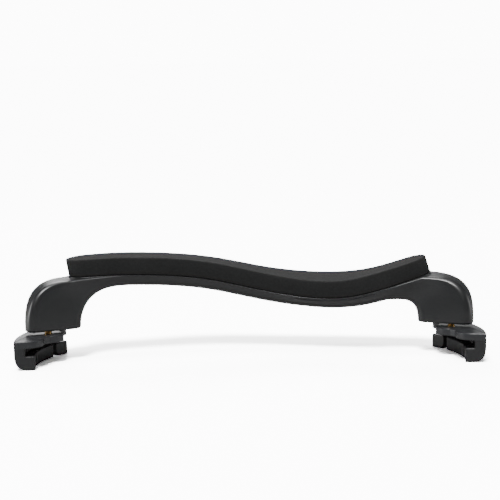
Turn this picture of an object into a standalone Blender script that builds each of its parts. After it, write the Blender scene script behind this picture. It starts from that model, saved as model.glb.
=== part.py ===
"""Shoulder rest for a viola: an S-curved moulded bar with a foam pad, on two screw-in feet with rubber claws.

Metres, +Z up. The claws stand on z = 0, +X runs along the bar towards the end that dips and rises again,
and -Y is the side that the two ends of the bar turn towards. Everything is laid out from the line through
the two foot screws (y = 0 while building) and is centred on the origin at the end.
"""

from math import asin, cos, hypot, pi, radians, sin

import bmesh
import bpy
import numpy as np
from mathutils import Vector

# ---------------------------------------------------------------- driving sizes
SCREW_SPAN = 0.216  # between the two foot screws, which sets the width that the rest clamps
GAP = 0.0003  # free gap between pieces that touch

# the foot: a stiff plate with three claws along an arc that follows the instrument's edge
FOOT_LENGTH = 0.0536
EDGE_RADIUS = 0.0650  # outside of the claws, in plan
CLAW_REACH = 0.0140  # from the screw to the outside of the centre claw
HUB_RADIUS = 0.0082  # round lobe of the plate about the screw
PLATE_THICK = 0.0037
PLATE_ROUND = 0.0008
SLOT_HEIGHT = 0.0043  # room for the instrument's edge
SLOT_DEPTH = 0.0052
LIP_HEIGHT = 0.0074
CLAW_DEPTH = 0.0108
CLAW_ROUND = 0.0050  # outer lower corner of a claw
CENTRE_CLAW_LENGTH = 0.0265
NOTCH = 0.0031  # open gap between neighbouring claws
PRONG_THICK = 0.0022
PRONG_DROP = 0.0085
PRONG_INSET = 0.0018  # end of a claw to its prong
PIN_HOLE = 0.0011  # moulding hole in the tip of each end claw
FOOT_TURN = radians(15.5)  # how far the front of each foot is turned out at rest
FOOT_HEIGHT = PLATE_THICK + SLOT_HEIGHT + LIP_HEIGHT

# the screw and the threaded inserts
SCREW_RADIUS = 0.0020
SCREW_GRIP = 0.0130  # length inside the block at rest
SCREW_REST_GAP = 0.0018  # block to plate at rest
SCREW_RECESS = 0.0008  # end of the screw above the plate's lower face
COLLAR_REACH = 0.0010
COLLAR_THICK = 0.0009
COLLAR_LOW = FOOT_HEIGHT - 0.0025
THREAD_CLEARANCE = 0.00012
INSERT_WALL = 0.0006
INSERT_LENGTH = 0.0120
INSERT_PITCH = 0.0137  # from the used insert to the spare one, along the lug
LUG_TURN = radians(26)  # lug direction in plan, from the X axis

# the end block: a leg that turns down from the bar to the narrow lug
LUG_Z = FOOT_HEIGHT + SCREW_REST_GAP
LUG_OUTER = 0.0109  # outer end of the lug beyond the screw
LUG_INNER = 0.0166  # inner end of the lug before the screw
LUG_WIDTH = 0.0100
# the two ends differ: the left leg sweeps up gradually, the right one turns more tightly
CROWN_HEIGHT = {"left": 0.0413, "right": 0.0414}
CROWN_INSET = {"left": 0.0080, "right": 0.0130}  # highest point of the shoulder, inside the screw
CROWN_POWER = 3.4
ARCH_SHARE = {"left": 0.63, "right": 0.69}  # where the leg has become the bar, of half the span
ARCH_POWER = {"left": 2.45, "right": 3.6}
LEG_SWELL = 0.0010  # how much wider the leg's top is half-way up

# the bar, as (share of half the screw span, y, z) along the middle of the pad's bed
BED = (
    (-1.00, 0.0128, 0.0432),
    (-0.70, 0.0174, 0.0450),
    (-0.46, 0.0249, 0.0437),
    (-0.19, 0.0294, 0.0400),
    (0.05, 0.0293, 0.0345),
    (0.31, 0.0262, 0.0307),
    (0.56, 0.0198, 0.0320),
    (0.76, 0.0143, 0.0381),
    (1.00, 0.0144, 0.0462),
)
# twist of the bed as (share, degrees): its rear edge is raised where this is positive
BED_TILT = ((-1.0, 1.1), (-0.5, 2.2), (0.0, 2.4), (0.5, 4.9), (1.0, -0.4))
# thickness below the bed, along the bar, by its share of half the span
BAR_THICK = ((-1.0, 0.0056), (-0.5, 0.0058), (0.0, 0.0057), (0.3, 0.0060), (0.6, 0.0066), (1.0, 0.0062))
UNDERSIDE_WIDTH = 0.0177
UNDERSIDE_ROUND = 0.0022
TRAY_THICK = 0.0016
TRAY_MARGIN = 0.0009  # bed rim that shows around the pad
TRAY_LIP = 0.0005  # how far the rim stands out from the bar's sides
# half width of the pad, as (share of half the screw span, half width)
PAD_HALF_WIDTH = ((-1.0, 0.0084), (-0.2, 0.0112), (0.15, 0.0113), (0.62, 0.0128), (1.0, 0.0056))
PAD_THICK = 0.0091
PAD_LEFT = -0.0973
PAD_RIGHT = 0.0984
FILM_THICK = 0.0002
FILM_GAP = 0.0002
FILM_MARGIN = 0.0012

HALF_SPAN = SCREW_SPAN / 2
SIDES = {"left": -1, "right": 1}
SEGMENTS = 32  # sides of a round piece


# ---------------------------------------------------------------- curves
def spline(points, at):
    """Natural cubic spline through (x, value) points, read at the positions in at."""
    x = np.array([p[0] for p in points], float)
    v = np.array([p[1] for p in points], float)
    h = np.diff(x)
    system = np.eye(len(x))
    rhs = np.zeros(len(x))
    for i in range(1, len(x) - 1):
        system[i, i - 1 : i + 2] = h[i - 1], 2 * (h[i - 1] + h[i]), h[i]
        rhs[i] = 6 * ((v[i + 1] - v[i]) / h[i] - (v[i] - v[i - 1]) / h[i - 1])
    bend = np.linalg.solve(system, rhs)
    at = np.asarray(at, float)
    i = np.clip(np.searchsorted(x, at) - 1, 0, len(h) - 1)
    a = (x[i + 1] - at) / h[i]
    b = (at - x[i]) / h[i]
    curve = ((a**3 - a) * bend[i] + (b**3 - b) * bend[i + 1]) * h[i] ** 2 / 6
    return a * v[i] + b * v[i + 1] + curve


def bed_point(x):
    """Middle of the pad's bed at x."""
    share = x / HALF_SPAN
    y = float(spline([(at, y) for at, y, _ in BED], share))
    z = float(spline([(at, z) for at, _, z in BED], share))
    return Vector((x, y, z))


def bed_frame(x):
    """(point, normal, width direction) of the bed at x."""
    step = 0.0005
    along = (bed_point(x + step) - bed_point(x - step)).normalized()
    level = Vector((-along.y, along.x, 0)).normalized()
    tilt = radians(float(spline(BED_TILT, x / HALF_SPAN)))
    across = level * cos(tilt) + along.cross(level) * sin(tilt)
    return bed_point(x), along.cross(across).normalized(), across


def pad_half_width(x):
    return float(spline(PAD_HALF_WIDTH, x / HALF_SPAN))


def quarter(start, end, power, count):
    """Quarter of a superellipse in (x, z) that leaves start upwards and reaches end level."""
    angles = np.linspace(0, pi / 2, count)
    across = np.cos(angles) ** (2 / power)
    rise = np.sin(angles) ** (2 / power)
    x = end[0] + (start[0] - end[0]) * across
    return np.column_stack([x, start[1] + (end[1] - start[1]) * rise])


def along_path(path, count):
    """Points at even spacing along a polyline."""
    run = np.concatenate([[0], np.cumsum(np.hypot(*np.diff(path, axis=0).T))])
    at = np.linspace(0, run[-1], count)
    return np.column_stack([np.interp(at, run, path[:, k]) for k in range(path.shape[1])])


# ---------------------------------------------------------------- mesh helpers
def material(name, colour, roughness, metallic=0.0):
    made = bpy.data.materials.new(name)
    made.use_nodes = True
    shader = made.node_tree.nodes["Principled BSDF"]
    shader.inputs["Base Color"].default_value = (*colour, 1)
    shader.inputs["Roughness"].default_value = roughness
    shader.inputs["Metallic"].default_value = metallic
    return made


def add_object(name, mesh_data, finish=None, parent=None):
    """An object of a bmesh, with its faces pointing out."""
    bmesh.ops.recalc_face_normals(mesh_data, faces=mesh_data.faces)
    mesh = bpy.data.meshes.new(name)
    mesh_data.to_mesh(mesh)
    mesh_data.free()
    mesh.shade_smooth()
    mesh.set_sharp_from_angle(angle=radians(35))
    if finish:
        mesh.materials.append(finish)
    made = bpy.data.objects.new(name, mesh)
    bpy.context.scene.collection.objects.link(made)
    made.parent = parent
    return made


def loft(rings):
    """A closed skin over rings of equal length, with a flat cap on each end."""
    skin = bmesh.new()
    rows = [[skin.verts.new(p) for p in ring] for ring in rings]
    count = len(rows[0])
    for low, high in zip(rows, rows[1:]):
        for i in range(count):
            skin.faces.new((low[i], low[(i + 1) % count], high[(i + 1) % count], high[i]))
    skin.faces.new(rows[0][::-1])
    skin.faces.new(rows[-1])
    return skin


def prism(outline, bottom, top):
    """An outline in plan, extruded from bottom to top."""
    return loft([[(x, y, z) for x, y in outline] for z in (bottom, top)])


def turned(profile, count=SEGMENTS):
    """A solid turned about Z from (radius, z) points that run round a closed section."""
    angles = np.linspace(0, 2 * pi, count, endpoint=False)
    skin = bmesh.new()
    rows = []
    for radius, z in profile:
        if radius == 0:
            rows.append([skin.verts.new((0, 0, z))] * count)
        else:
            rows.append([skin.verts.new((radius * cos(a), radius * sin(a), z)) for a in angles])
    closed = profile[0][0] > 0 and profile[-1][0] > 0
    pairs = list(zip(rows, rows[1:])) + ([(rows[-1], rows[0])] if closed else [])
    for low, high in pairs:
        for i in range(count):
            j = (i + 1) % count
            corners = dict.fromkeys((low[i], low[j], high[j], high[i]))
            if len(corners) > 2:
                skin.faces.new(tuple(corners))
    return skin


def cutter(name, mesh_data, parent=None):
    made = add_object(name, mesh_data, parent=parent)
    made.hide_render = True
    made.display_type = "WIRE"
    return made


def boolean(target, other, operation):
    modifier = target.modifiers.new(f"{operation.lower()} {other.name}", "BOOLEAN")
    modifier.operation = operation
    modifier.solver = "EXACT"
    modifier.object = other


def soften(target, width, segments=2, angle=40):
    modifier = target.modifiers.new("soften edges", "BEVEL")
    modifier.width = width
    modifier.segments = segments
    modifier.limit_method = "ANGLE"
    modifier.angle_limit = radians(angle)
    modifier.use_clamp_overlap = True


# ---------------------------------------------------------------- bar
def section(top, under, across, widths, rounds, corner=5):
    """Ring of a section between its top and under points: a trapezoid with rounded corners."""
    length = (under - top).length
    ring = []
    for end, side in ((0, -1), (0, 1), (1, 1), (1, -1)):
        radius = min(rounds[end], widths[end] / 2 - 1e-4, length / 2 - 1e-4)
        sense = 1 if end else -1
        middle = length - radius if end else radius
        for k in range(corner):
            turn = pi / 2 * k / (corner - 1)
            if (end == 0) == (side > 0):
                turn = pi / 2 - turn
            down = middle + sense * radius * sin(turn)
            over = widths[end] / 2 - radius + radius * cos(turn)
            ring.append(top.lerp(under, down / length) + across * over * side)
    return ring


def lug_across(side):
    """Level direction across the lug; side is -1 on the left and 1 on the right."""
    return Vector((side * sin(LUG_TURN), cos(LUG_TURN), 0))


def lug_y(reach):
    """y of the lug's middle line at this distance outward of the screw."""
    return -reach * sin(LUG_TURN) / cos(LUG_TURN)


def under_point(x):
    """Middle of the bar's underside below x."""
    point, normal, _ = bed_frame(x)
    return point - normal * float(spline(BAR_THICK, x / HALF_SPAN))


def body_top(x):
    """Top of the bar's body, a little inside the tray."""
    point, normal, _ = bed_frame(x)
    return point - normal * (TRAY_THICK - 0.0004)


def under_tray(x, z):
    """Height z at x, kept inside the tray's thickness where the tray passes over."""
    if PAD_LEFT - TRAY_MARGIN < x < PAD_RIGHT + TRAY_MARGIN:
        return min(z, body_top(x).z)
    return z


def leg_sections(label, count=22):
    """Sections from the lug's flat underside up to the bar, where the leg has become the bar."""
    side = SIDES[label]
    screw_x = side * HALF_SPAN
    arch_x = screw_x * ARCH_SHARE[label]
    crown = (screw_x - side * CROWN_INSET[label], CROWN_HEIGHT[label])
    outer = quarter((screw_x + side * LUG_OUTER, LUG_Z), crown, CROWN_POWER, 24)
    ridge_x = np.linspace(crown[0], arch_x, 14)[1:]
    bed_z = np.array([body_top(x).z for x in ridge_x])
    settle = np.linspace(0, 1, 14)[1:] ** 0.8
    ridge = np.column_stack([ridge_x, crown[1] * (1 - settle) + bed_z * settle])
    top_path = along_path(np.vstack([outer, ridge]), count)
    arch = under_point(arch_x)
    inner = quarter((screw_x - side * LUG_INNER, LUG_Z), (arch.x, arch.z), ARCH_POWER[label], 24)
    under_path = along_path(inner, count)
    rings = []
    for k in range(count):
        share = k / (count - 1)
        blend = share * share * (3 - 2 * share)
        keep = 1 - blend
        swell = sin(pi * share)
        top_x = top_path[k][0]
        top_z = under_tray(*top_path[k])
        under_x, under_z = under_path[k]
        top_y = keep * lug_y(side * top_x - HALF_SPAN) + blend * bed_point(top_x).y
        under_y = keep * lug_y(side * under_x - HALF_SPAN) + blend * bed_point(under_x).y
        across = lug_across(side).lerp(bed_frame(under_x)[2], blend).normalized()
        top_width = keep * LUG_WIDTH + blend * body_width(arch_x) + LEG_SWELL * swell**1.2
        under_width = keep * LUG_WIDTH + blend * UNDERSIDE_WIDTH
        top_round = keep * 0.0040 + blend * 0.0006 + 0.0012 * swell
        under_round = keep * LUG_WIDTH / 2 + blend * UNDERSIDE_ROUND
        top = Vector((top_x, top_y, top_z))
        under = Vector((under_x, under_y, under_z))
        rings.append(section(top, under, across, (top_width, under_width), (top_round, under_round)))
    return rings


def body_width(x):
    return 2 * (pad_half_width(x) + TRAY_MARGIN - TRAY_LIP)


def bar_body():
    """The arched beam with its two legs, as one skin from the left lug's face to the right one's."""
    arch_left = -HALF_SPAN * ARCH_SHARE["left"]
    arch_right = HALF_SPAN * ARCH_SHARE["right"]
    rings = leg_sections("left")
    for x in np.linspace(arch_left, arch_right, 30)[1:-1]:
        widths = (body_width(x), UNDERSIDE_WIDTH)
        across = bed_frame(x)[2]
        rings.append(section(body_top(x), under_point(x), across, widths, (0.0006, UNDERSIDE_ROUND)))
    rings += leg_sections("right")[::-1]
    return loft(rings)


def strip(margin, low, high, count=40, tip=0.14):
    """A strip along the pad's bed, margin wider than the pad, between two heights above the bed."""
    left = PAD_LEFT - margin
    right = PAD_RIGHT + margin
    radius_left = pad_half_width(left) + margin
    radius_right = pad_half_width(right) + margin
    turns = np.linspace(asin(tip), pi / 2, 9)
    stations = [(left + radius_left * (1 - cos(a)), sin(a)) for a in turns]
    middle = np.linspace(left + radius_left, right - radius_right, count)[1:-1]
    stations += [(x, 1) for x in middle]
    stations += [(right - radius_right * (1 - cos(a)), sin(a)) for a in turns[::-1]]
    rings = []
    for x, share in stations:
        point, normal, across = bed_frame(x)
        reach = (pad_half_width(x) + margin) * share
        corners = ((low, -1), (high, -1), (high, 1), (low, 1))
        rings.append([point + normal * rise + across * reach * side for rise, side in corners])
    return loft(rings)


# ---------------------------------------------------------------- screws and inserts
def insert_radius():
    return SCREW_RADIUS + THREAD_CLEARANCE + INSERT_WALL


def insert_solid():
    """Threaded sleeve with a flange, open at both ends; z = 0 is the lug's face."""
    bore = SCREW_RADIUS + THREAD_CLEARANCE
    outer = insert_radius()
    groove = outer - INSERT_WALL * 0.4
    mid = INSERT_LENGTH / 2
    return turned(
        [
            (bore, GAP),
            (outer, GAP),
            (outer, mid - 0.0008),
            (groove, mid - 0.0005),
            (groove, mid + 0.0005),
            (outer, mid + 0.0008),
            (outer, INSERT_LENGTH),
            (bore, INSERT_LENGTH),
        ]
    )


def insert_hole():
    """Blind hole in the lug for an insert, with room past it for the screw."""
    depth = max(SCREW_GRIP + SCREW_REST_GAP + 0.0010, INSERT_LENGTH + GAP)
    radius = insert_radius() + GAP
    return turned([(0, -0.002), (radius, -0.002), (radius, depth), (0, depth + 0.0006)])


def insert_places(side):
    """(name, x, y) of the two inserts of one lug; the foot screw is in the outer one."""
    x = side * HALF_SPAN
    return (
        ("outer", x, 0.0),
        ("inner", x - side * INSERT_PITCH * cos(LUG_TURN), INSERT_PITCH * sin(LUG_TURN)),
    )


def screw_solid():
    """Foot screw: shank with a chamfered tip, and a collar that the plate is moulded over."""
    low = FOOT_HEIGHT - PLATE_THICK + SCREW_RECESS
    high = LUG_Z + SCREW_GRIP
    r = SCREW_RADIUS
    chamfer = 0.0004
    return turned(
        [
            (0, low),
            (r, low),
            (r, COLLAR_LOW),
            (r + COLLAR_REACH, COLLAR_LOW),
            (r + COLLAR_REACH, COLLAR_LOW + COLLAR_THICK),
            (r, COLLAR_LOW + COLLAR_THICK),
            (r, high - chamfer),
            (r - chamfer, high),
            (0, high),
        ]
    )


def screw_seat():
    """Hole through the plate for the screw, with a groove for its collar."""
    r = SCREW_RADIUS + GAP
    out = r + COLLAR_REACH
    low = COLLAR_LOW - GAP
    high = COLLAR_LOW + COLLAR_THICK + GAP
    below = FOOT_HEIGHT - PLATE_THICK - 0.002
    above = FOOT_HEIGHT + 0.002
    return turned([(0, below), (r, below), (r, low), (out, low), (out, high), (r, high), (r, above), (0, above)])


# ---------------------------------------------------------------- foot, about its own screw axis; +x is outward
ARC_CENTRE = CLAW_REACH - EDGE_RADIUS  # x of the middle of the claws' arc


def on_arc(radius, angle):
    return (ARC_CENTRE + radius * cos(angle), radius * sin(angle))


def plate_outline():
    """Three lobes towards the bar, an arc outside: half of it is drawn and mirrored."""
    tip = asin(FOOT_LENGTH / 2 / EDGE_RADIUS)
    outer = [on_arc(EDGE_RADIUS, a) for a in np.linspace(0, tip, 10)]
    corner_x, corner_y = outer[-1]
    end_x, end_y = cos(tip), sin(tip)
    knots = (
        (corner_x, corner_y),
        (corner_x - 0.0040 * end_x, corner_y - 0.0040 * end_y),
        (corner_x - 0.0074 * end_x, corner_y - 0.0076 * end_y),
        (-0.0016, corner_y - 0.0058),
        (-0.0032, corner_y - 0.0100),
        (-0.0030, corner_y - 0.0135),
        (-0.0024, 0.0112),
    )
    steps = [hypot(b[0] - a[0], b[1] - a[1]) for a, b in zip(knots, knots[1:])]
    run = np.concatenate([[0], np.cumsum(steps)])
    fine = np.linspace(0, run[-1], 18)[1:]
    lobe_x = spline([(at, p[0]) for at, p in zip(run, knots)], fine)
    lobe_y = spline([(at, p[1]) for at, p in zip(run, knots)], fine)
    neck = np.linspace(radians(118), pi, 8)
    hub = [(HUB_RADIUS * cos(a), HUB_RADIUS * sin(a)) for a in neck]
    half = outer + [(float(x), float(y)) for x, y in zip(lobe_x, lobe_y)] + hub
    return half + [(x, -y) for x, y in half[-2:0:-1]]


def claw_spans(side):
    """(name, start angle, end angle) of the three claws along the arc."""
    middle = CENTRE_CLAW_LENGTH / 2 / EDGE_RADIUS
    notch = NOTCH / EDGE_RADIUS
    tip = asin(FOOT_LENGTH / 2 / EDGE_RADIUS) - 0.0006 / EDGE_RADIUS
    first, last = ("rear", "front") if side < 0 else ("front", "rear")
    return ((first, -tip, -middle - notch), ("centre", -middle, middle), (last, middle + notch, tip))


def arc_solid(profile, start, end, step=radians(1.6)):
    """A closed (radius, z) profile swept about the middle of the claws' arc."""
    count = max(2, int((end - start) / step) + 2)
    return loft([[(*on_arc(r, a), z) for r, z in profile] for a in np.linspace(start, end, count)])


def claw_profile():
    """C of a claw below the plate: outer wall with a round lower corner, slot, and lip."""
    outer, inner = EDGE_RADIUS, EDGE_RADIUS - CLAW_DEPTH
    wall = inner + SLOT_DEPTH
    top = LIP_HEIGHT + SLOT_HEIGHT - GAP
    edge = 0.0009
    turns = np.linspace(0, pi / 2, 7)
    corner = [(outer - CLAW_ROUND * (1 - cos(a)), CLAW_ROUND * (1 - sin(a))) for a in turns]
    lip = [
        (inner + edge, 0.0),
        (inner, edge),
        (inner, LIP_HEIGHT - edge),
        (inner + edge, LIP_HEIGHT),
    ]
    return [(outer, top), *corner, *lip, (wall, LIP_HEIGHT), (wall, top)]


def prong_profile(grow):
    """Upright prong inside a claw's outer wall, made larger by grow for its pocket."""
    middle = EDGE_RADIUS - (CLAW_DEPTH - SLOT_DEPTH) / 2
    near = middle - PRONG_THICK / 2 - grow
    far = middle + PRONG_THICK / 2 + grow
    bottom = LIP_HEIGHT + SLOT_HEIGHT - PRONG_DROP - grow
    top = LIP_HEIGHT + SLOT_HEIGHT + 0.001
    return [(near, bottom), (far, bottom), (far, top), (near, top)]


def pin_hole(start, end):
    """Blind moulding hole in the tip of a claw, with its place along the arc."""
    r = PIN_HOLE / 2
    x, y = on_arc(EDGE_RADIUS - CLAW_DEPTH * 0.62, (start + end) / 2)
    return turned([(0, -0.001), (r, -0.001), (r, 0.0035), (0, 0.0035)], 12), (x, y, 0)


def make_foot(label, finishes, parent):
    """Plate and claws on an empty whose z axis is the foot's screw."""
    side = SIDES[label]
    pivot = bpy.data.objects.new(f"foot_pivot_{label}", None)
    bpy.context.scene.collection.objects.link(pivot)
    pivot.location = (side * HALF_SPAN, 0, 0)
    pivot.rotation_euler = (0, 0, FOOT_TURN if side > 0 else pi - FOOT_TURN)
    pivot.parent = parent

    body = prism(plate_outline(), FOOT_HEIGHT - PLATE_THICK, FOOT_HEIGHT)
    plate = add_object(f"foot_plate_{label}", body, finishes["plate"], pivot)
    soften(plate, PLATE_ROUND, 2, 30)
    for name, start, end in claw_spans(side):
        inset = PRONG_INSET / EDGE_RADIUS
        prong = arc_solid(prong_profile(0), start + inset, end - inset)
        boolean(plate, cutter(f"prong_{label}_{name}", prong, pivot), "UNION")
    boolean(plate, cutter(f"screw_seat_{label}", screw_seat(), pivot), "DIFFERENCE")

    for name, start, end in claw_spans(side):
        body = arc_solid(claw_profile(), start, end)
        claw = add_object(f"claw_{label}_{name}", body, finishes["rubber"], pivot)
        soften(claw, 0.0005, 2, 50)
        inset = (PRONG_INSET - GAP) / EDGE_RADIUS
        pocket = arc_solid(prong_profile(GAP), start + inset, end - inset)
        boolean(claw, cutter(f"pocket_{label}_{name}", pocket, pivot), "DIFFERENCE")
        if name != "centre":
            hole, place = pin_hole(start, end)
            pin = cutter(f"pin_hole_{label}_{name}", hole, pivot)
            pin.location = place
            boolean(claw, pin, "DIFFERENCE")


# ---------------------------------------------------------------- assembly
def make_bar(finishes, parent):
    """Bar with its ledge for the pad, the adhesive film and the pad."""
    bar = add_object("shoulder_bar", bar_body(), finishes["bar"], parent)
    tray = cutter("tray", strip(TRAY_MARGIN, -TRAY_THICK, 0), parent)
    boolean(bar, tray, "UNION")
    film_top = FILM_GAP + FILM_THICK
    add_object("pad_adhesive", strip(-FILM_MARGIN, FILM_GAP, film_top), finishes["film"], parent)
    pad_low = film_top + FILM_GAP
    add_object("foam_pad", strip(0, pad_low, pad_low + PAD_THICK), finishes["foam"], parent)
    return bar


def fit_screw(label, bar, finishes, parent):
    """The two inserts of one lug, their holes in the bar, and the foot screw in the outer one."""
    side = SIDES[label]
    for name, x, y in insert_places(side):
        hole = cutter(f"insert_hole_{label}_{name}", insert_hole(), parent)
        hole.location = (x, y, LUG_Z)
        boolean(bar, hole, "DIFFERENCE")
        sleeve = add_object(f"insert_{label}_{name}", insert_solid(), finishes["insert"], parent)
        sleeve.location = (x, y, LUG_Z)
    stud = add_object(f"stud_{label}", screw_solid(), finishes["brass"], parent)
    stud.location = (side * HALF_SPAN, 0, 0)


def recentre(frame):
    """Move the whole rest so that the middle of its bounding box's floor is the origin."""
    bpy.context.view_layer.update()
    graph = bpy.context.evaluated_depsgraph_get()
    points = []
    for item in bpy.data.objects:
        if item.type == "MESH" and not item.hide_render:
            done = item.evaluated_get(graph)
            points += [done.matrix_world @ vertex.co for vertex in done.data.vertices]
    low = np.min(points, axis=0)
    high = np.max(points, axis=0)
    frame.location = (-(low[0] + high[0]) / 2, -(low[1] + high[1]) / 2, -low[2])


def build():
    for old in list(bpy.data.objects):
        bpy.data.objects.remove(old)
    finishes = {
        "bar": material("bar_plastic", (0.030, 0.031, 0.033), 0.38),
        "foam": material("foam", (0.024, 0.024, 0.025), 0.92),
        "film": material("adhesive_film", (0.25, 0.25, 0.24), 0.6),
        "brass": material("brass", (0.78, 0.55, 0.22), 0.28, 1.0),
        "insert": material("insert_metal", (0.20, 0.19, 0.17), 0.4, 1.0),
        "plate": material("plate_plastic", (0.032, 0.033, 0.035), 0.42),
        "rubber": material("claw_rubber", (0.026, 0.026, 0.027), 0.62),
    }
    frame = bpy.data.objects.new("shoulder_rest", None)
    bpy.context.scene.collection.objects.link(frame)
    bar = make_bar(finishes, frame)
    for label in SIDES:
        fit_screw(label, bar, finishes, frame)
        make_foot(label, finishes, frame)
    recentre(frame)


build()
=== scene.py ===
"""Viola shoulder rest: a black moulded bar with a foam pad, standing on two screw-in feet with rubber claws.

Metres. +X runs along the bar, -Y faces the camera and the claws stand on z = 0.
"""

from math import asin, cos, pi, radians, sin, tan

import bmesh
import bpy
import numpy as np
from mathutils import Matrix, Vector


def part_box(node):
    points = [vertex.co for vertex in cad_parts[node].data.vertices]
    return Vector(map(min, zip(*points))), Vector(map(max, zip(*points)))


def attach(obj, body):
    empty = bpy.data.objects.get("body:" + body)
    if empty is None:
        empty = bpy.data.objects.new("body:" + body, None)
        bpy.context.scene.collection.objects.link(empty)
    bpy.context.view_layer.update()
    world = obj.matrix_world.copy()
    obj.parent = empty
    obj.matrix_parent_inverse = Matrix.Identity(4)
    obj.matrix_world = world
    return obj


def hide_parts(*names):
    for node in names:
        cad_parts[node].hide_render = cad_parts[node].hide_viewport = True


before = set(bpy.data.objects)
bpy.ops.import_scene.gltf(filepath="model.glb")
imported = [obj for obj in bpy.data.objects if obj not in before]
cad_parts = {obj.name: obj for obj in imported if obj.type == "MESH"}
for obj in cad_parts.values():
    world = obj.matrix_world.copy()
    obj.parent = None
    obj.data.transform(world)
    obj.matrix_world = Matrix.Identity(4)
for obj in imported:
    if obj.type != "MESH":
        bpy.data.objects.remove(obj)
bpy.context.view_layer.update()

# ---------------------------------------------------------------- camera
# A long lens from a little above the bar, nearly square on to it. The object stands low in the frame, so
# the lens is shifted and not tilted. The aim point lies above the line through the two foot screws.
stud_low, stud_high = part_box("stud_left")
screw_line_y = (stud_low.y + stud_high.y) / 2
aim = Vector((0, screw_line_y + 0.015, 0.025))
distance = 0.800
lens_length = 105.7
down = radians(9.62)
aside = radians(0.16)
roll = radians(-1.05)
ahead = Vector((sin(aside) * cos(down), cos(aside) * cos(down), -sin(down)))
level = Vector((cos(aside), -sin(aside), 0))
above = level.cross(ahead)
right = level * cos(roll) + above * sin(roll)
upward = above * cos(roll) - level * sin(roll)
lens = bpy.data.cameras.new("camera")
lens.sensor_width = 36
lens.lens = lens_length
lens.shift_x = 0.0015
lens.shift_y = 0.1149
lens.clip_start = 0.01
camera = bpy.data.objects.new("camera", lens)
bpy.context.scene.collection.objects.link(camera)
turned = Matrix((right, upward, -ahead)).transposed().to_4x4()
camera.matrix_world = Matrix.Translation(aim - ahead * distance) @ turned
bpy.context.scene.camera = camera


# ---------------------------------------------------------------- floor and light
# White paper in a white room. A broad lamp above the front gives the shadow, two weaker ones fill in from
# above and behind, and two small ones at the sides draw the edges of the plastic. The camera sees the room
# and the paper overexposed, while only ordinary soft light falls on the object.
class Node:
    """A socket of a material's nodes. Arithmetic on it adds Math nodes; Node.make adds any other node."""

    def __init__(self, tree, socket):
        self.tree = tree
        self.socket = socket

    @staticmethod
    def make(tree, kind, settings, values, output=0):
        node = tree.nodes.new(kind)
        for name, value in settings.items():
            setattr(node, name, value)
        for name, value in values.items():
            if isinstance(value, Node):
                tree.links.new(value.socket, node.inputs[name])
            else:
                node.inputs[name].default_value = value
        return Node(tree, node.outputs[output])

    def maths(self, operation, first, second):
        return Node.make(self.tree, "ShaderNodeMath", {"operation": operation}, {0: first, 1: second})

    def __add__(self, other):
        return self.maths("ADD", self, other)

    def __radd__(self, other):
        return self.maths("ADD", other, self)

    def __sub__(self, other):
        return self.maths("SUBTRACT", self, other)

    def __rsub__(self, other):
        return self.maths("SUBTRACT", other, self)

    def __mul__(self, other):
        return self.maths("MULTIPLY", self, other)

    def __rmul__(self, other):
        return self.maths("MULTIPLY", other, self)

    def into(self, shader, name):
        self.tree.links.new(self.socket, shader.inputs[name])


SEEN_WHITE = 12.0  # brightness of the room as the camera sees it
ROOM_LIGHT = 0.11  # brightness of the room as the object sees it
PAPER_GAIN = 5.8  # the paper's reflectance as the camera sees it
PAPER_WHITE = 0.36  # the paper's reflectance as it lights the object
PAPER_HALF = 60  # half the width of the paper, so that its edge is far away


def split_by_camera(tree, output, kind, for_camera, for_object):
    """Give a shader one set of values for the camera and another for everything else."""
    seen = Node.make(tree, "ShaderNodeLightPath", {}, {}, "Is Camera Ray")
    shown = Node.make(tree, kind, {}, for_camera)
    plain = Node.make(tree, kind, {}, for_object)
    Node.make(tree, "ShaderNodeMixShader", {}, {0: seen, 1: plain, 2: shown}).into(output, "Surface")


def grey(value):
    return (value, value, value, 1)


world = bpy.data.worlds.new("studio")
bpy.context.scene.world = world
world.use_nodes = True
tree = world.node_tree
bright = {"Color": grey(1), "Strength": SEEN_WHITE}
dim = {"Color": grey(1), "Strength": ROOM_LIGHT}
split_by_camera(tree, tree.nodes["World Output"], "ShaderNodeBackground", bright, dim)

sheet = bpy.data.meshes.new("floor")
corners = [(x * PAPER_HALF, y * PAPER_HALF, 0) for x, y in ((-1, -1), (1, -1), (1, 1), (-1, 1))]
sheet.from_pydata(corners, [], [(0, 1, 2, 3)])
floor = bpy.data.objects.new("floor", sheet)
bpy.context.scene.collection.objects.link(floor)
paper = bpy.data.materials.new("white_paper")
paper.use_nodes = True
tree = paper.node_tree
shown, plain = {"Color": grey(PAPER_GAIN)}, {"Color": grey(PAPER_WHITE)}
split_by_camera(tree, tree.nodes["Material Output"], "ShaderNodeBsdfDiffuse", shown, plain)
sheet.materials.append(paper)


def lamp(name, kind, place, toward, power, **settings):
    """A lamp at a place, facing a point. A sun is even over the whole paper, and its angle softens it."""
    light = bpy.data.lights.new(name, kind)
    light.energy = power
    for key, value in settings.items():
        setattr(light, key, value)
    made = bpy.data.objects.new(name, light)
    made.location = place
    made.rotation_euler = (Vector(toward) - Vector(place)).to_track_quat("-Z", "Y").to_euler()
    bpy.context.scene.collection.objects.link(made)


origin = (0, 0, 0)
mid_bar = (0, 0, 0.03)
lamp("front_overhead", "SUN", (-0.12, -0.50, 0.86), origin, 5.1, angle=radians(16))
lamp("overhead", "SUN", (0, 0.10, 1.0), origin, 0.9, angle=radians(34))
lamp("back_overhead", "SUN", (-0.10, 0.85, 0.55), origin, 1.4, angle=radians(28))
lamp("left_side", "AREA", (-0.85, 0.05, 0.16), mid_bar, 3.2, size=0.35)
lamp("right_side", "AREA", (0.85, 0.05, 0.16), mid_bar, 1.2, size=0.35)


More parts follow.
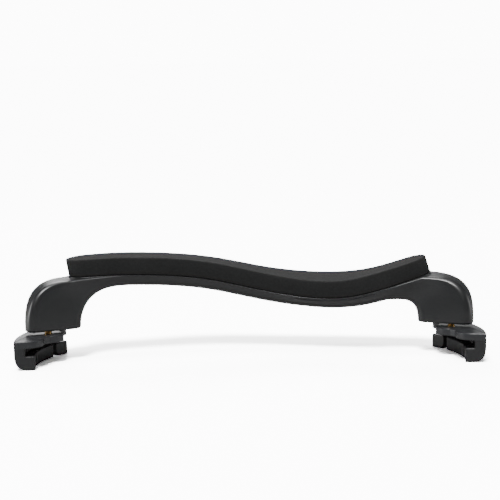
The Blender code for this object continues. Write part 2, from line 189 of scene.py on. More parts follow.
# ---------------------------------------------------------------- moulded bar
# One glass-filled plastic moulding: an S-shaped beam whose two ends turn down and in to narrow lugs. The
# sections run from the left lug's flat face, over the shoulder, along the beam and down to the right lug.
# Sizes that differ between the ends are kept by side, -1 for the left and 1 for the right.
HALF_SPAN = 0.108  # middle of the bar to a foot screw
LUG_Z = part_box("insert_left_outer")[0].z - 0.0003  # the flanges sit just inside the lugs' faces
LUG_TURN = radians(26)  # how far a lug is turned in plan
LUG_OUTER = 0.0109  # from the screw to the lug's outer end
LUG_INNER = 0.0166  # from the screw to its inner end
LUG_WIDTH = 0.0100
LUG_ROUND = 0.0012  # round of the edge at the lug's face
CROWN_HEIGHT = {-1: 0.0434, 1: 0.0423}  # height of the shoulder above the floor
CROWN_INSET = {-1: 0.0105, 1: 0.0140}  # from the screw in to the crown
CROWN_POWER = {-1: 2.9, 1: 3.4}  # superellipse of the shoulder's outline
CROWN_EDGE = {-1: 0.0022, 1: 0.0032}  # round of the shoulder's front and back edges
CROWN_EDGE_MORE = 0.0016  # what that round gains towards the lug
CROWN_SETTLE = {-1: 0.40, 1: 0.80}  # the smaller, the sooner the shoulder's ridge meets the ledge
ARCH_SHARE = {-1: 0.63, 1: 0.69}  # where the leg's inner curve ends, as a share of the half span
ARCH_POWER = {-1: 2.45, 1: 3.6}
LEG_SWELL = 0.0010  # how much a leg thickens half-way
LEG_SWELL_ROUND = 0.0006
BEAM_EDGE = 0.0004  # round of the beam's upper edges
THICK_SHARE = (-1.0, -0.5, 0.0, 0.3, 0.6, 1.0)  # knots of the beam's thickness, as shares of the half span
BAR_THICK = (0.0056, 0.0058, 0.0057, 0.0060, 0.0066, 0.0062)
UNDERSIDE_WIDTH = 0.0177
UNDERSIDE_ROUND = 0.0022
BED_RISE = 0.0003  # the bed stands up to the pad, so that the film is hidden
RIM_MARGIN = 0.0009  # how far beyond the pad the bed keeps its level
SIDE_MARGIN = 0.0004  # beam beyond the pad
BED_SHARE = (-1.00, -0.70, -0.46, -0.19, 0.05, 0.31, 0.56, 0.76, 1.00)  # knots of the bed's middle line
BED_Y = (0.0128, 0.0174, 0.0249, 0.0294, 0.0293, 0.0262, 0.0198, 0.0143, 0.0144)
BED_Z = (0.0432, 0.0450, 0.0437, 0.0400, 0.0345, 0.0307, 0.0320, 0.0381, 0.0462)
TILT_SHARE = (-1.0, -0.5, 0.0, 0.5, 1.0)
TILT = (1.1, 2.2, 2.4, 4.9, -0.4)  # degrees by which the bed leans about its run
WIDE_SHARE = (-1.0, -0.2, 0.15, 0.62, 1.0)
PAD_HALF_WIDTH = (0.0084, 0.0112, 0.0113, 0.0128, 0.0056)
PAD_LEFT = -0.0973  # ends of the foam
PAD_RIGHT = 0.0984
LEG_ROWS = 120
LUG_ROWS = 10  # closer rows over the lug's rounded edge
LUG_SHARE = 0.03  # part of the leg's length that they cover
RIDGE_ROWS = 60
BEAM_ROWS = 180


def spline(knots, values, at):
    """Natural cubic spline: the second derivatives at the knots solve a tridiagonal system, and are 0 at
    both ends. Each span is a cubic between its two values and its two second derivatives."""
    x = np.array(knots)
    v = np.array(values)
    h = np.diff(x)
    system = np.eye(len(x))
    rhs = np.zeros(len(x))
    for i in range(1, len(x) - 1):
        system[i, i - 1 : i + 2] = h[i - 1], 2 * (h[i - 1] + h[i]), h[i]
        rhs[i] = 6 * ((v[i + 1] - v[i]) / h[i] - (v[i] - v[i - 1]) / h[i - 1])
    bend = np.linalg.solve(system, rhs)
    i = np.clip(np.searchsorted(x, at) - 1, 0, len(h) - 1)
    a = (x[i + 1] - at) / h[i]
    b = (at - x[i]) / h[i]
    curve = ((a**3 - a) * bend[i] + (b**3 - b) * bend[i + 1]) * h[i] ** 2 / 6
    return a * v[i] + b * v[i + 1] + curve


def unit(v):
    return v / np.linalg.norm(v, axis=-1, keepdims=True)


def bed_point(x):
    """Middle of the pad's bed, as an array of points for an array of x."""
    x = np.asarray(x, float)
    share = x / HALF_SPAN
    return np.stack([x, spline(BED_SHARE, BED_Y, share), spline(BED_SHARE, BED_Z, share)], -1)


def bed_frame(x):
    """Points, normals and width directions of the bed: the width direction is square to the run of the bed
    and level, then turned about the run by the bed's tilt."""
    x = np.asarray(x, float)
    step = 0.0005
    along = unit(bed_point(x + step) - bed_point(x - step))
    flat = unit(np.stack([-along[..., 1], along[..., 0], 0 * x], -1))
    tilt = np.radians(spline(TILT_SHARE, TILT, x / HALF_SPAN))[..., None]
    across = flat * np.cos(tilt) + np.cross(along, flat) * np.sin(tilt)
    return bed_point(x), unit(np.cross(along, across)), across


def pad_half_width(x):
    return spline(WIDE_SHARE, PAD_HALF_WIDTH, np.asarray(x, float) / HALF_SPAN)


def body_width(x):
    return 2 * (pad_half_width(x) + SIDE_MARGIN)


def body_top(x):
    point, normal, _ = bed_frame(x)
    return point + normal * BED_RISE


def under_point(x):
    point, normal, _ = bed_frame(x)
    return point - normal * spline(THICK_SHARE, BAR_THICK, np.asarray(x, float) / HALF_SPAN)[..., None]


def quarter(start, end, power, count=120):
    """Quarter of a superellipse in (x, z): |x|^power + |z|^power = 1 between the two points, upright at the
    start and level at the end."""
    a = np.linspace(0, pi / 2, count)
    across = np.cos(a) ** (2 / power)
    rise = np.sin(a) ** (2 / power)
    return np.stack([end[0] + (start[0] - end[0]) * across, start[1] + (end[1] - start[1]) * rise], -1)


def along_path(path, share):
    """Points of a polyline at shares of its length."""
    run = np.concatenate([[0], np.cumsum(np.linalg.norm(np.diff(path, axis=0), axis=1))])
    return np.stack([np.interp(share * run[-1], run, path[:, k]) for k in range(path.shape[1])], -1)


def beam_rings(top, under, across, widths, rounds, corner=9, flat=3):
    """Rings of a trapezoid with rounded corners, one for each top and under point: each corner is a quarter
    circle, and every point is measured down from the top and out along the width direction."""
    length = np.linalg.norm(under - top, axis=-1)
    least = 1e-4  # flat left between two rounds
    parts = []
    for end, side in ((0, -1), (0, 1), (1, 1), (1, -1)):
        radius = np.minimum(np.minimum(rounds[end], widths[end] / 2 - least), length / 2 - least)[:, None]
        turn = np.linspace(0, pi / 2, corner)[None, :]
        if (end == 0) == (side > 0):
            turn = pi / 2 - turn
        middle = length[:, None] - radius if end else radius
        drop = middle + (1 if end else -1) * radius * np.sin(turn)
        over = widths[end][:, None] / 2 - radius + radius * np.cos(turn)
        share = (drop / length[:, None])[..., None]
        line = top[:, None] * (1 - share) + under[:, None] * share
        parts.append(line + across[:, None] * (over * side)[..., None])
    filled = []
    for part, after in zip(parts, parts[1:] + parts[:1]):
        step = np.linspace(0, 1, flat + 2)[1:-1][None, :, None]
        filled += [part, part[:, -1:] * (1 - step) + after[:, :1] * step]
    return np.concatenate(filled, 1)


def round_foot(rings, level, radius, count):
    """Pull the first rings in towards their middles, so that the edge round the flat end is a quarter circle:
    a point at height h above the face is pulled in by r - sqrt(r^2 - (r - h)^2)."""
    first = rings[:count]
    rise = np.clip(first[..., 2] - level, 0, radius)
    pull = radius - np.sqrt(np.maximum(radius**2 - (radius - rise) ** 2, 0))
    around = np.roll(first, -1, 1) - np.roll(first, 1, 1)
    outward = unit(np.stack([around[..., 1], -around[..., 0], 0 * rise], -1) + 1e-12)
    centre = first.mean(1, keepdims=True)
    sign = np.sign(((first - centre) * outward).sum(-1).mean())
    first -= outward * sign * pull[..., None]
    return rings


def leg_rings(side):
    """Sections of one leg. The top runs round a superellipse from the lug's outer end to the crown and on to
    the beam; the underside runs round another from the lug's inner end to the arch. Place, width and
    direction blend from the lug's to the beam's by 3s^2 - 2s^3."""
    share = np.concatenate([np.linspace(0, LUG_SHARE, LUG_ROWS)[:-1], np.linspace(LUG_SHARE, 1, LEG_ROWS)])
    screw_x = side * HALF_SPAN
    arch_x = screw_x * ARCH_SHARE[side]
    crown = (screw_x - side * CROWN_INSET[side], CROWN_HEIGHT[side])
    outer = quarter((screw_x + side * LUG_OUTER, LUG_Z), crown, CROWN_POWER[side])
    ridge_x = np.linspace(crown[0], arch_x, RIDGE_ROWS)[1:]
    settle = np.linspace(0, 1, RIDGE_ROWS)[1:] ** CROWN_SETTLE[side]
    ridge = np.stack([ridge_x, crown[1] * (1 - settle) + body_top(ridge_x)[:, 2] * settle], -1)
    top_path = along_path(np.vstack([outer, ridge]), share)
    covered = (top_path[:, 0] > PAD_LEFT - RIM_MARGIN) & (top_path[:, 0] < PAD_RIGHT + RIM_MARGIN)
    bed_height = np.where(covered, body_top(top_path[:, 0])[:, 2], np.inf)
    top_path[:, 1] = np.minimum(top_path[:, 1], bed_height)
    arch = under_point(arch_x)
    inner = quarter((screw_x - side * LUG_INNER, LUG_Z), (arch[0], arch[2]), ARCH_POWER[side])
    under_path = along_path(inner, share)
    blend = share * share * (3 - 2 * share)
    keep = 1 - blend
    swell = np.sin(pi * share)
    slope = tan(LUG_TURN)
    lug_top_y = -(side * top_path[:, 0] - HALF_SPAN) * slope
    lug_under_y = -(side * under_path[:, 0] - HALF_SPAN) * slope
    top_y = keep * lug_top_y + blend * bed_point(top_path[:, 0])[:, 1]
    under_y = keep * lug_under_y + blend * bed_point(under_path[:, 0])[:, 1]
    lug = np.array([side * sin(LUG_TURN), cos(LUG_TURN), 0])
    across = unit(lug * keep[:, None] + bed_frame(under_path[:, 0])[2] * blend[:, None])
    wide = keep * LUG_WIDTH + blend * body_width(arch_x) + LEG_SWELL * swell**1.2
    narrow = keep * LUG_WIDTH + blend * UNDERSIDE_WIDTH
    crown_round = CROWN_EDGE[side] + CROWN_EDGE_MORE * keep**6
    top_round = keep * crown_round + blend * BEAM_EDGE + LEG_SWELL_ROUND * swell
    under_round = keep * LUG_WIDTH / 2 + blend * UNDERSIDE_ROUND
    top = np.stack([top_path[:, 0], top_y, top_path[:, 1]], -1)
    under = np.stack([under_path[:, 0], under_y, under_path[:, 1]], -1)
    rings = beam_rings(top, under, across, (wide, narrow), (top_round, under_round))
    return round_foot(rings, LUG_Z, LUG_ROUND, LUG_ROWS + 3)


def skin(name, rings, closed=True, capped=True):
    """A smooth surface through a grid of points. Each row is joined to the next, closed rows run round, and
    the first and last row can be filled with one flat face."""
    rows, count = rings.shape[:2]
    index = np.arange(rows * count).reshape(rows, count)
    after = np.roll(index, -1, 1) if closed else index[:, 1:]
    here = index if closed else index[:, :-1]
    faces = np.stack([here[:-1], after[:-1], after[1:], here[1:]], -1).reshape(-1, 4).tolist()
    if capped:
        faces += [index[0, ::-1].tolist(), index[-1].tolist()]
    mesh = bpy.data.meshes.new(name)
    mesh.from_pydata(rings.reshape(-1, 3).tolist(), [], faces)
    made = bpy.data.objects.new(name, mesh)
    bpy.context.scene.collection.objects.link(made)
    return made


MERGE = 1e-6  # corners this close are one


def finish_mesh(piece, angle=40, merge=0.0):
    """Merge doubles, turn the faces outwards and shade smooth up to an angle."""
    work = bmesh.new()
    work.from_mesh(piece.data)
    if merge:
        bmesh.ops.remove_doubles(work, verts=work.verts, dist=merge)
        bmesh.ops.dissolve_degenerate(work, edges=work.edges, dist=merge / 10)
    bmesh.ops.recalc_face_normals(work, faces=work.faces)
    work.to_mesh(piece.data)
    work.free()
    piece.data.shade_smooth()
    piece.data.set_sharp_from_angle(angle=radians(angle))


def at_screws(grid):
    """Shift from the line through the foot screws to the frame."""
    return grid + np.array([0, screw_line_y, 0])


def cut_away(piece, cutters):
    """Cut closed shapes out of a piece, apply the cuts and throw the shapes away."""
    for cutter in cutters:
        cut = piece.modifiers.new("cut", "BOOLEAN")
        cut.operation = "DIFFERENCE"
        cut.solver = "EXACT"
        cut.object = cutter
        bpy.context.view_layer.update()
        done = bpy.data.meshes.new_from_object(piece.evaluated_get(bpy.context.evaluated_depsgraph_get()))
        piece.modifiers.clear()
        old = piece.data
        piece.data = done
        bpy.data.meshes.remove(old)
        bpy.data.objects.remove(cutter)


AXIS = 0.0001  # radius at which a turned shape is closed by a flat face
HOLE_CLEARANCE = 0.0002  # round an insert
HOLE_LEAD = 0.0004  # chamfer at a hole's mouth
HOLE_DEPTH = 0.0159
HOLE_POINT = 0.0005  # depth of the chamfer at the mouth and of the drill point
CUT_PAST = 0.002  # how far a cutter reaches beyond the face


def turned_rings(profile, centre, count=48):
    """A (radius, height) profile turned about an upright axis through the centre."""
    angle = np.linspace(0, 2 * pi, count, endpoint=False)
    radius, height = np.array(profile).T[:, :, None]
    return np.stack(
        [
            centre[0] + radius * np.cos(angle),
            centre[1] + radius * np.sin(angle),
            centre[2] + height + 0 * angle,
        ],
        -1,
    )


left_arch = -HALF_SPAN * ARCH_SHARE[-1]
right_arch = HALF_SPAN * ARCH_SHARE[1]
x = np.linspace(left_arch, right_arch, BEAM_ROWS)[1:-1]
same = np.ones_like(x)
middle_rings = beam_rings(
    body_top(x),
    under_point(x),
    bed_frame(x)[2],
    (body_width(x), UNDERSIDE_WIDTH * same),
    (BEAM_EDGE * same, UNDERSIDE_ROUND * same),
)
bar = skin("bar_moulding", at_screws(np.concatenate([leg_rings(-1), middle_rings, leg_rings(1)[::-1]])))
finish_mesh(bar)
holes = []
for label in ("left", "right"):
    for place in ("outer", "inner"):
        low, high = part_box(f"insert_{label}_{place}")
        centre = ((low.x + high.x) / 2, (low.y + high.y) / 2, LUG_Z)
        radius = (high.x - low.x) / 2 + HOLE_CLEARANCE
        mouth = radius + HOLE_LEAD
        bore = [(AXIS, -CUT_PAST), (mouth, -CUT_PAST), (mouth, 0), (radius, HOLE_POINT)]
        bore += [(radius, HOLE_DEPTH), (AXIS, HOLE_DEPTH + HOLE_POINT)]
        holes.append(skin(f"hole_{label}_{place}", turned_rings(bore, centre)))


def oval(power, count):
    """Points of |a|^power + |b|^power = 1, as arrays of a and b."""
    t = np.linspace(0, 2 * pi, count, endpoint=False)
    a, b = (np.sign(wave) * np.abs(wave) ** (2 / power) for wave in (np.cos(t), np.sin(t)))
    return a, b


def underside_panel(middle_x, half_length, half_width, depth):
    """A flat oval solid that follows the underside: its two faces are grids of one oval at shares of its
    size, one inside the beam, with a softened edge, and one outside."""
    length, width = oval(3, 120)
    shares = (0.01, 0.25, 0.5, 0.75)
    steps = [(depth, share) for share in (*shares, 0.94)] + [(depth * 0.8, 0.98), (0.0, 1.0)]
    steps += [(-0.001, share) for share in (1.0, *shares[::-1])]
    rings = []
    for rise, share in steps:
        x = middle_x + length * half_length * share
        _, normal, across = bed_frame(x)
        rings.append(under_point(x) + normal * rise + across * (width * half_width * share)[:, None])
    return skin("panel", at_screws(np.array(rings)))


# A long and a short plain oval are sunk into the underside near the middle.
holes.append(underside_panel(-0.0085, 0.0215, 0.0052, 0.00035))
holes.append(underside_panel(0.0225, 0.0052, 0.0021, 0.00025))
for hole in holes:
    finish_mesh(hole)
cut_away(bar, holes)
finish_mesh(bar, 35)


class Finish:
    """A new material, its shader, and the Object coordinates that its patterns follow."""

    def __init__(self, name):
        self.material = bpy.data.materials.new(name)
        self.material.use_nodes = True
        self.tree = self.material.node_tree
        self.shader = self.tree.nodes["Principled BSDF"]
        self.place = Node.make(self.tree, "ShaderNodeTexCoord", {}, {}, "Object")

    def noise(self, size, detail):
        values = {"Vector": self.place, "Scale": 1 / size, "Detail": detail}
        return Node.make(self.tree, "ShaderNodeTexNoise", {}, values)

    def between(self, share, dark, light):
        """Base colour that goes from dark to light with the share."""
        values = {0: share, 6: (*dark, 1), 7: (*light, 1)}
        colour = Node.make(self.tree, "ShaderNodeMix", {"data_type": "RGBA"}, values, 2)
        colour.into(self.shader, "Base Color")

    def relief(self, height, strength, depth):
        values = {"Strength": strength, "Distance": depth, "Height": height}
        Node.make(self.tree, "ShaderNodeBump", {}, values, "Normal").into(self.shader, "Normal")


def plastic(name, colour, roughness, grain_size, grain_depth):
    """Satin moulded plastic: a fine spark-eroded texture in the bump, and a slow drift in sheen where hands
    have polished it."""
    finish = Finish(name)
    grain = finish.noise(grain_size, 3)
    drift = finish.noise(1 / 45, 2)
    (roughness + (drift - 0.5) * 0.10 + (grain - 0.5) * 0.04).into(finish.shader, "Roughness")
    finish.between(drift, [0.85 * c for c in colour], [1.15 * c for c in colour])
    finish.relief(grain, 0.5, grain_depth)
    return finish.material


bar_plastic = plastic("bar_plastic", (0.0140, 0.0145, 0.0152), 0.33, 0.0006, 0.00002)
bar.data.materials.append(bar_plastic)
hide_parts("shoulder_bar")
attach(bar, "bar")


# ---------------------------------------------------------------- ledge for the pad
# The top of the moulding spreads to a thin ledge that carries the foam. It is flush with the beam's sides,
# and its underside slopes in, so that a small gap is left below its two round ends.
LEDGE_THICK = 0.0016
LEDGE_SLOPE = 0.0014  # how far the ledge's underside is set in from its rim
RIM_DEPTH = 0.0004  # upright part of the rim, below the bed
RIM_INSET = 0.0003
RIM_ROUND = 0.0002
LEAN_LENGTH = 0.03  # stretch over which a leaning end fades


def strip_grid(margin, profile, rows, turns, lean=0.0):
    """A strip along the bed with round ends. The outline goes round both ends by 1 - cos and sin of an
    angle. Each outline point is carried through a profile of (inset, height, share of the half width left):
    the inset pulls the outline in, and the share runs to 0 at the middle line. The left end leans out by
    lean times the height, fading along the strip's first part."""
    left = PAD_LEFT - margin
    right = PAD_RIGHT + margin
    angle = np.linspace(0.02, pi / 2, turns)
    round_left = pad_half_width(left) + margin
    round_right = pad_half_width(right) + margin
    left_end = left + round_left * (1 - np.cos(angle))
    middle = np.linspace(left + round_left, right - round_right, rows)[1:-1]
    right_end = (right - round_right * (1 - np.cos(angle)))[::-1]
    x = np.concatenate([left_end, middle, right_end])
    bulge = np.concatenate([np.sin(angle), np.ones(rows - 2), np.sin(angle)[::-1]])
    centre = (left + right) / 2
    rings = []
    for inset, height, share in profile:
        x_in = centre + (x - centre) * (1 - inset / (right - centre))
        x_in = x_in - lean * height * np.clip(1 - (x - left) / LEAN_LENGTH, 0, 1)
        point, normal, across = bed_frame(x_in)
        reach = ((pad_half_width(x_in) + margin - inset) * bulge * share)[:, None]
        front = point + normal * height - across * reach
        back = point + normal * height + across * reach
        rings.append(np.concatenate([front, back[::-1]]))
    return np.array(rings)


def rounded(low, high, radius):
    """Profile of a strip's side and top: up the side with a quarter round at both edges, and back in along
    the top."""
    t = np.linspace(0, pi / 2, 5)
    lower = [(radius * (1 - sin(a)), low + radius * (1 - cos(a)), 1.0) for a in t]
    upper = [(radius * (1 - cos(a)), high - radius * (1 - sin(a)), 1.0) for a in t]
    return lower + upper + [(radius, high, share) for share in (0.85, 0.6, 0.3, 0.0)]


ledge_steps = [(LEDGE_SLOPE, -LEDGE_THICK, share) for share in (0.0, 0.35, 0.7, 1.0)]
ledge_steps += [(RIM_INSET, -RIM_DEPTH, 1.0)] + rounded(-RIM_DEPTH, BED_RISE, RIM_ROUND)
ledge = skin("pad_ledge", at_screws(strip_grid(SIDE_MARGIN, ledge_steps, 150, 24)), capped=False)
finish_mesh(ledge, 50, MERGE)
ledge.data.materials.append(bar_plastic)
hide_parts("shoulder_bar")
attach(ledge, "bar")


# ---------------------------------------------------------------- foam pad
# A strip of closed-cell foam cut from a sheet and stuck down with a film. It has flat faces, hardly rounded
# edges and a matte open grain. The blade has cut its left end at a slant.
PAD_THICK = 0.0091
PAD_LOW = 0.0004  # the foam sinks to this height above the bed, over the film's edge
PAD_HIGH = 0.0006 + PAD_THICK  # in the frame its underside is flat, 0.6 mm above the bed
PAD_ROUND = 0.0006
PAD_SLANT = 0.09
pad_steps = [(PAD_ROUND, PAD_LOW, share) for share in (0.0, 0.35, 0.7)]
pad_steps += rounded(PAD_LOW, PAD_HIGH, PAD_ROUND)
pad = skin("pad_foam", at_screws(strip_grid(0.0, pad_steps, 200, 30, PAD_SLANT)), capped=False)
finish_mesh(pad, 60, MERGE)
foam = Finish("foam")
foam.shader.inputs["Specular IOR Level"].default_value = 0.22  # foam scatters what little it reflects
cell_values = {"Vector": foam.place, "Scale": 1 / 0.0005}
cells = Node.make(foam.tree, "ShaderNodeTexVoronoi", {}, cell_values, "Distance")
fuzz = foam.noise(0.0012, 4)
cloud = foam.noise(1 / 60, 2)
foam.between(fuzz * 0.6 + cloud * 0.4, (0.007, 0.007, 0.007), (0.021, 0.021, 0.021))
(0.88 + cells * 0.10).into(foam.shader, "Roughness")
foam.relief(cells * 0.6 + fuzz * 0.4, 0.7, 0.00012)
pad.data.materials.append(foam.material)
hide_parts("foam_pad")
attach(pad, "bar")


# ---------------------------------------------------------------- adhesive film
# A thin double-sided film under the foam, set back from its edge.
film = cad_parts["pad_adhesive"]
film.data.materials.clear()
film.data.materials.append(plastic("adhesive_film", (0.22, 0.22, 0.21), 0.55, 0.0010, 0.00002))


# ---------------------------------------------------------------- threaded inserts and foot screws
# Brass sleeves with a flange, pressed into the lugs, and the long foot screws. The screws are rolled with an
# M4 thread of 0.7 mm pitch and have a chamfered tip.
THREAD_PITCH = 0.0007
THREAD_DEPTH = 0.00036
THREAD_START = 0.0004  # height over which the thread grows out of the plain shank
SCREW_RADIUS = 0.0020
TIP_CHAMFER = 0.0005
HEAD_CHAMFER = 0.0002
ROWS_A_TURN = 12


def metal(name, colour, roughness):
    """Turned brass with a little tarnish, duller and darker in soft patches."""
    finish = Finish(name)
    finish.shader.inputs["Metallic"].default_value = 1.0
    tarnish = finish.noise(1 / 900, 3)
    (roughness + (tarnish - 0.5) * 0.25).into(finish.shader, "Roughness")
    finish.between(tarnish, [0.7 * c for c in colour], colour)
    return finish.material


def in_frame(label):
    """A foot screw's x and y in the frame, and the heights of its two ends."""
    low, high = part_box(f"stud_{label}")
    return (low.x + high.x) / 2, (low.y + high.y) / 2, low.z, high.z


def smooth_copy(node, name):
    """A copy of a frame piece with its corners joined, so that its curves shade smooth."""
    made = bpy.data.objects.new(name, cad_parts[node].data.copy())
    bpy.context.scene.collection.objects.link(made)
    made.data.materials.clear()
    finish_mesh(made, merge=MERGE)
    return made


def screw_rings(x, y, low, high, plain_to):
    """A screw's skin: its radius is r - depth * w, where w is a flat-topped triangle wave of height / pitch
    minus angle / 2 pi, so that the ridge climbs by one pitch a turn. The shank in the plate is plain."""
    height = np.linspace(low, high, int((high - low) / THREAD_PITCH * ROWS_A_TURN))[:, None]
    angle = np.linspace(0, 2 * pi, 40, endpoint=False)[None, :]
    phase = (height / THREAD_PITCH - angle / (2 * pi)) % 1.0
    wave = np.clip(np.abs(phase * 2 - 1) * 1.5 - 0.25, 0, 1)
    grown = np.clip((height - plain_to) / THREAD_START, 0, 1)
    tip = TIP_CHAMFER * np.clip(1 - (high - height) / TIP_CHAMFER, 0, 1)
    head = HEAD_CHAMFER * np.clip(1 - (height - low) / HEAD_CHAMFER, 0, 1)
    radius = SCREW_RADIUS - np.maximum(THREAD_DEPTH * wave * grown, tip) - head
    return np.stack([x + radius * np.cos(angle), y + radius * np.sin(angle), height + 0 * angle], -1)


brass = metal("screw_brass", (0.80, 0.57, 0.26), 0.24)
dark_brass = metal("insert_metal", (0.30, 0.25, 0.17), 0.40)
for label in ("left", "right"):
    for place in ("outer", "inner"):
        sleeve = smooth_copy(f"insert_{label}_{place}", f"sleeve_{label}_{place}")
        sleeve.data.materials.append(dark_brass)
        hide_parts(f"insert_{label}_{place}")
        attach(sleeve, "bar")
    x, y, low, high = in_frame(label)
    plate_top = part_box(f"foot_plate_{label}")[1].z
    screw = skin(f"screw_{label}", screw_rings(x, y, low, high, plate_top))
    finish_mesh(screw, 50)
    screw.data.materials.append(brass)
    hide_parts(f"stud_{label}")
    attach(screw, f"{label}_screw")


# ---------------------------------------------------------------- plate of a foot
# A stiff moulded plate with a round hub at the screw, two lobes, and an arc outside that follows the
# instrument's edge. Its edges are rounded over. Sizes are about the foot's own screw, +x outward.
FOOT_LENGTH = 0.0536
EDGE_RADIUS = 0.0650  # arc of the plate's outer side
CLAW_REACH = 0.0140  # from the screw out to that arc
HUB_RADIUS = 0.0082
HUB_START = radians(118)  # where the hub's arc begins, from the outward direction
PLATE_THICK = 0.0037
PLATE_ROUND = 0.0007
PLATE_FLAT = 0.0002  # the faces are drawn in by this much before they are closed
BORE_CLEARANCE = 0.0003  # round the screw
FOOT_TURN = {"left": pi - radians(15.5), "right": radians(15.5)}
ARC_CENTRE = CLAW_REACH - EDGE_RADIUS
TIP = asin(FOOT_LENGTH / 2 / EDGE_RADIUS)  # angle of a foot's tip on the arc


def on_arc(radius, angle):
    return np.stack([ARC_CENTRE + radius * np.cos(angle), radius * np.sin(angle)], -1)


def plate_outline():
    """Half of the outline is the outer arc, a spline that runs in at the tip and round the lobe, and an arc
    round the hub; the other half is its mirror image. The points are then spaced evenly."""
    outer = on_arc(EDGE_RADIUS, np.linspace(0, TIP, 40))
    x, y = outer[-1]
    knots = np.array(
        [
            (x, y),
            (x - 0.0040 * cos(TIP), y - 0.0040 * sin(TIP)),
            (x - 0.0074 * cos(TIP), y - 0.0076 * sin(TIP)),
            (-0.0016, y - 0.0058),
            (-0.0032, y - 0.0100),
            (-0.0030, y - 0.0135),
            (-0.0024, 0.0112),
        ]
    )
    run = np.concatenate([[0], np.cumsum(np.hypot(*np.diff(knots, axis=0).T))])
    fine = np.linspace(0, run[-1], 60)[1:]
    lobe = np.stack([spline(run, knots[:, 0], fine), spline(run, knots[:, 1], fine)], -1)
    neck = np.linspace(HUB_START, pi, 30)
    hub = HUB_RADIUS * np.stack([np.cos(neck), np.sin(neck)], -1)
    half = np.concatenate([outer, lobe, hub])
    whole = np.concatenate([half, half[-2:0:-1] * (1, -1), half[:1]])
    return along_path(whole, np.linspace(0, 1, 301)[:-1])


def inset(outline, depth):
    """A closed outline moved inwards by a depth, square to the chord between each point's neighbours."""
    run = np.roll(outline, -1, 0) - np.roll(outline, 1, 0)
    return outline + unit(np.stack([-run[:, 1], run[:, 0]], -1)) * depth


def to_place(piece, label):
    """Turn a finished foot piece about its screw and set it at the screw's place."""
    x, y = in_frame(label)[:2]
    piece.data.transform(Matrix.Translation((x, y, 0)) @ Matrix.Rotation(FOOT_TURN[label], 4, "Z"))


plate_plastic = plastic("plate_plastic", (0.019, 0.020, 0.022), 0.36, 0.0005, 0.00002)
for label in ("left", "right"):
    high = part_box(f"foot_plate_{label}")[1].z
    low = high - PLATE_THICK
    t = np.linspace(0, pi / 2, 7)
    steps = [(PLATE_FLAT, low), (0, low)]
    steps += zip(PLATE_ROUND * (1 - np.cos(t)), high - PLATE_ROUND * (1 - np.sin(t)))
    steps += [(PLATE_ROUND + PLATE_FLAT, high)]
    outline = plate_outline()
    rings = np.stack([np.insert(inset(outline, depth), 2, z, axis=1) for depth, z in steps])
    plate = skin(f"plate_{label}", rings)
    finish_mesh(plate)
    radius = SCREW_RADIUS + BORE_CLEARANCE
    below, over = low - CUT_PAST, high + CUT_PAST
    bore = [(AXIS, below), (radius, below), (radius, over), (AXIS, over)]
    hole = skin("screw_bore", turned_rings(bore, (0, 0, 0)))
    finish_mesh(hole)
    cut_away(plate, [hole])
    finish_mesh(plate, 35)
    to_place(plate, label)
    plate.data.materials.append(plate_plastic)
    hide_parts(f"foot_plate_{label}")
    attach(plate, f"{label}_foot")


# ---------------------------------------------------------------- claws
# Three rubber hooks under each plate, with a gap between neighbours. The instrument's edge sits in their
# slots. The end hooks have a small moulding hole below, the middle one a shallow plain panel.
SLOT_HEIGHT = 0.0043
SLOT_DEPTH = 0.0052
LIP_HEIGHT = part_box("foot_plate_left")[1].z - PLATE_THICK - SLOT_HEIGHT
CLAW_DEPTH = 0.0108  # from the outer arc to the lip's inner side
CLAW_ROUND = 0.0066  # outer lower edge, where its round begins on the bottom
CLAW_ROUND_HIGH = 0.0082  # and on the side
CLAW_SHARP = 0.00005  # round of the edges that meet the plate
LIP_ROUND = 0.0010
CLAW_GAP = 0.00002  # between a claw's top and the plate
CLAW_EASE = 0.0005  # round of the edges at a claw's ends
CENTRE_CLAW_LENGTH = 0.0265
NOTCH = 0.0034  # gap between neighbours, along the arc
LIFT = 0.0022  # how far the end hooks' lower corners rise towards the notch
LIFT_LENGTH = 0.0034
PIN_HOLE = 0.0011
PIN_HOLE_DEPTH = 0.0035
UNDER_CLAW = 0.62  # middle of a claw's underside, as a share of its depth
PANEL_LENGTH = 0.0170
PANEL_WIDTH = 0.0044
PANEL_DEPTH = 0.00035
CLAW_ROWS = 40
EASE_ROWS = 6


def eased(corners, radii, steps):
    """A closed polygon with its corners rounded: each is replaced by the quadratic curve (1-t)^2 A + 2t(1-t)
    B + t^2 C, from and to points at the two radii on its two sides."""
    corner = np.array(corners)
    radius = np.array(radii)
    before = corner + unit(np.roll(corner, 1, 0) - corner) * radius[:, :1]
    after = corner + unit(np.roll(corner, -1, 0) - corner) * radius[:, 1:]
    t = np.linspace(0, 1, steps)[None, :, None]
    curve = (1 - t) ** 2 * before[:, None] + 2 * t * (1 - t) * corner[:, None] + t**2 * after[:, None]
    return curve.reshape(-1, 2)


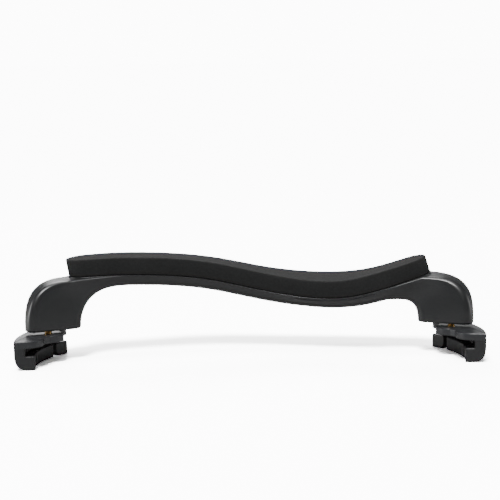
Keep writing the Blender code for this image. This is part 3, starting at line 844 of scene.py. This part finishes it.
def claw_rings(start, end, slopes):
    """A C-shaped (radius, height) profile swept about the middle of the claws' arc. Near both ends it is
    inset by a quarter circle, and towards a sloping end the lower part is lifted by a parabola."""
    outer, inner = EDGE_RADIUS, EDGE_RADIUS - CLAW_DEPTH
    wall = inner + SLOT_DEPTH
    top = LIP_HEIGHT + SLOT_HEIGHT - CLAW_GAP
    corners = [(outer, top), (outer, 0), (inner, 0), (inner, LIP_HEIGHT), (wall, LIP_HEIGHT), (wall, top)]
    sharp, soft = (CLAW_SHARP, CLAW_SHARP), (LIP_ROUND, LIP_ROUND)
    profile = eased(corners, (sharp, (CLAW_ROUND_HIGH, CLAW_ROUND), soft, soft, soft, sharp), 10)
    t = np.linspace(0, pi / 2, EASE_ROWS)
    ease = CLAW_EASE * (1 - np.sin(t))
    near = CLAW_EASE * (1 - np.cos(t)) / EDGE_RADIUS
    between = np.linspace(start, end, CLAW_ROWS)
    between = between[(between > start + near[-1]) & (between < end - near[-1])]
    angle = np.concatenate([[start], start + near, between, (end - near)[::-1], [end]])
    last = [ease[0] + 0.0001]
    depth = np.concatenate([last, ease, 0 * between, ease[::-1], last])
    lift = np.zeros(len(angle))
    for sloping, away in zip(slopes, (angle - start, end - angle)):
        lift += sloping * LIFT * np.clip(1 - away * EDGE_RADIUS / LIFT_LENGTH, 0, 1) ** 2
    rings = []
    for a, d, up in zip(angle, depth, lift):
        radius, height = inset(profile, -d).T
        height = np.where(profile[:, 1] > top - 0.0001, profile[:, 1], height)
        height = height + up * np.clip(1 - height / LIP_HEIGHT, 0, 1)
        rings.append(np.insert(on_arc(radius[:, None], a).reshape(-1, 2), 2, height, axis=1))
    return np.array(rings)


def panel_cutter():
    """A rounded rectangle under the middle claw, an oval of power 5 in radius and arc length."""
    across, along = oval(5, 96)
    radius = EDGE_RADIUS - CLAW_DEPTH * UNDER_CLAW + PANEL_WIDTH / 2 * across
    plan = on_arc(radius, PANEL_LENGTH / 2 / EDGE_RADIUS * along)
    return skin("panel", np.stack([np.insert(plan, 2, z, axis=1) for z in (-0.001, PANEL_DEPTH)]))


def pin_hole_cutter(angle):
    """A small round hole up into an end claw."""
    x, y = on_arc(EDGE_RADIUS - CLAW_DEPTH * UNDER_CLAW, angle)
    profile = [(AXIS, -0.001), (PIN_HOLE / 2, -0.001), (PIN_HOLE / 2, PIN_HOLE_DEPTH), (AXIS, PIN_HOLE_DEPTH)]
    return skin("pin_hole", turned_rings(profile, (x, y, 0), 24))


claw_rubber = plastic("claw_rubber", (0.0125, 0.0130, 0.0136), 0.42, 0.0004, 0.00003)
half = CENTRE_CLAW_LENGTH / 2 / EDGE_RADIUS
gap = NOTCH / EDGE_RADIUS
for label in ("left", "right"):
    first, last = ("rear", "front") if label == "left" else ("front", "rear")
    spans = {
        first: (-TIP, -half - gap, (0, 1)),
        "centre": (-half, half, (0, 0)),
        last: (half + gap, TIP, (1, 0)),
    }
    for place, (start, end, slopes) in spans.items():
        claw = skin(f"hook_{label}_{place}", claw_rings(start, end, slopes))
        finish_mesh(claw)
        cutter = panel_cutter() if place == "centre" else pin_hole_cutter((start + end) / 2)
        finish_mesh(cutter)
        cut_away(claw, [cutter])
        finish_mesh(claw, 38)
        to_place(claw, label)
        claw.data.materials.append(claw_rubber)
        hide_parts(f"claw_{label}_{place}")
        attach(claw, f"{label}_foot")
